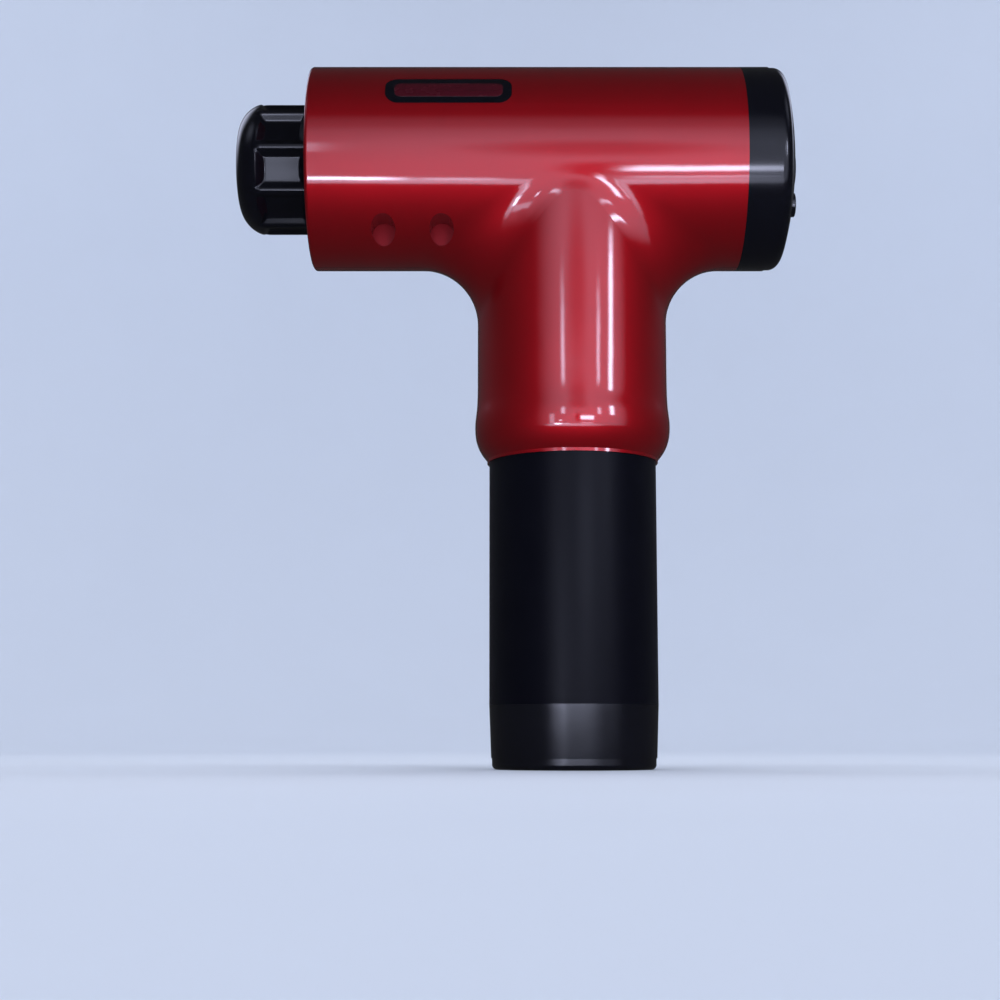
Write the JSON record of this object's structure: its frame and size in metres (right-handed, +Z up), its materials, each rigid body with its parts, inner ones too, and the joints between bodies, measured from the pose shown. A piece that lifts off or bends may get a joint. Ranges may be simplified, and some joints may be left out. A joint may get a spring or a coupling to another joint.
{
  "type": "massage gun",
  "caption": "Handheld percussive massage gun: a red barrel on a black rubber grip, with a crank-driven striker whose socket takes push-in heads.",
  "frame": {"origin": "centre of the flat face that the handle stands on", "axes": "+Z up the handle, the barrel along X with its nose towards -X, and the joint of the two housing halves on the XZ plane"},
  "size_m": [0.1867, 0.068, 0.2348],
  "materials": {
    "red_shell": "deep red moulded ABS, glossy",
    "gloss_black": "black moulded ABS, glossy",
    "satin_black": "black moulded ABS, satin",
    "grip_rubber": "black silicone rubber, matte",
    "mount_rubber": "black isolating rubber",
    "clear_lens": "frosted clear acrylic",
    "steel": "turned steel",
    "dark_steel": "laminated electrical steel",
    "black_screw": "blackened steel",
    "aluminium": "machined and cast aluminium",
    "bronze": "sintered bronze",
    "copper": "enamelled copper wire",
    "nickel": "nickel strip",
    "magnet": "nickel-plated magnet",
    "cell_wrap": "blue shrink wrap",
    "holder": "black polypropylene",
    "circuit_board": "green solder mask",
    "component": "black epoxy",
    "wire": "PVC insulated wire",
    "white_plug": "natural nylon"
  },
  "bodies": {
    "housing": {"left_shell": "red_shell", "right_shell": "red_shell", "screw_plugs": "red_shell", "badge": "gloss_black", "nose_ring": "gloss_black", "rear_ring": "gloss_black", "rear_dome": "gloss_black", "speed_lamps": "clear_lens", "grip_sleeve": "grip_rubber", "handle_tube": "satin_black", "end_cap": "gloss_black", "base_plate": "satin_black", "switch_case": "satin_black", "charge_jack": "satin_black", "charge_lamp": "clear_lens", "shell_screws": "black_screw", "ring_screws": "black_screw", "base_screws": "black_screw", "guide_screws": "steel", "motor_screws": "steel", "front_isolator": "mount_rubber", "frame_pads": "mount_rubber", "guide_housing": "aluminium", "rear_bush": "bronze", "front_bush": "bronze", "drive_frame": "aluminium", "motor_mount": "aluminium", "motor_bearings": "steel", "motor_stator": "dark_steel", "motor_windings": "copper", "display_board": "circuit_board", "button_switches": "component", "battery_cells": "cell_wrap", "lower_cell_holder": "holder", "upper_cell_holder": "holder", "cell_strips": "nickel", "battery_board": "circuit_board", "control_board": "circuit_board", "board_components": "component", "motor_plug": "white_plug", "motor_leads": "wire", "battery_leads": "wire", "display_cable": "wire"},
    "rotor": {"motor_can": "steel", "rotor_magnets": "magnet", "motor_shaft": "steel", "crank_disc": "steel", "crank_washer": "steel", "crank_screw": "steel", "set_screw": "black_screw"},
    "rod": {"connecting_rod": "aluminium", "rod_bearing": "steel"},
    "striker": {"piston": "aluminium", "wrist_pin": "steel"},
    "power_key": {"power_button": "satin_black"},
    "speed_up_key": {"speed_up_button": "satin_black"},
    "speed_down_key": {"speed_down_button": "satin_black"},
    "rocker": {"power_rocker": "satin_black"}
  },
  "joints": [
    {"name": "motor_turn", "type": "hinge", "parent": "housing", "child": "rotor", "pos_m": [0, 0, 0.2008], "axis": [0, 0, 1], "range_deg": [0, 180]},
    {"name": "rod_turn", "type": "hinge", "parent": "rotor", "child": "rod", "pos_m": [0.005, 0, 0.2008], "axis": [0, 0, 1], "range_deg": [-180, 0]},
    {"name": "striker_slide", "type": "slide", "parent": "housing", "child": "striker", "axis": [-1, 0, 0], "range_m": [0, 0.01]},
    {"name": "power_press", "type": "slide", "parent": "housing", "child": "power_key", "axis": [-1, 0, 0], "range_m": [0, 0.0006], "stiffness_N_per_m": 900, "springref_m": -0.0003},
    {"name": "speed_up_press", "type": "slide", "parent": "housing", "child": "speed_up_key", "axis": [-1, 0, 0], "range_m": [0, 0.0006], "stiffness_N_per_m": 900, "springref_m": -0.0003},
    {"name": "speed_down_press", "type": "slide", "parent": "housing", "child": "speed_down_key", "axis": [-1, 0, 0], "range_m": [0, 0.0006], "stiffness_N_per_m": 900, "springref_m": -0.0003},
    {"name": "rocker_tilt", "type": "hinge", "parent": "housing", "child": "rocker", "pos_m": [0.01, 0, 0.0046], "axis": [1, 0, 0], "range_deg": [-16, 0]}
  ],
  "couplings": [
    {"joint": "motor_turn", "follows": "striker_slide", "rad_per_m": 314.16},
    {"joint": "rod_turn", "follows": "striker_slide", "rad_per_m": -314.16}
  ]
}
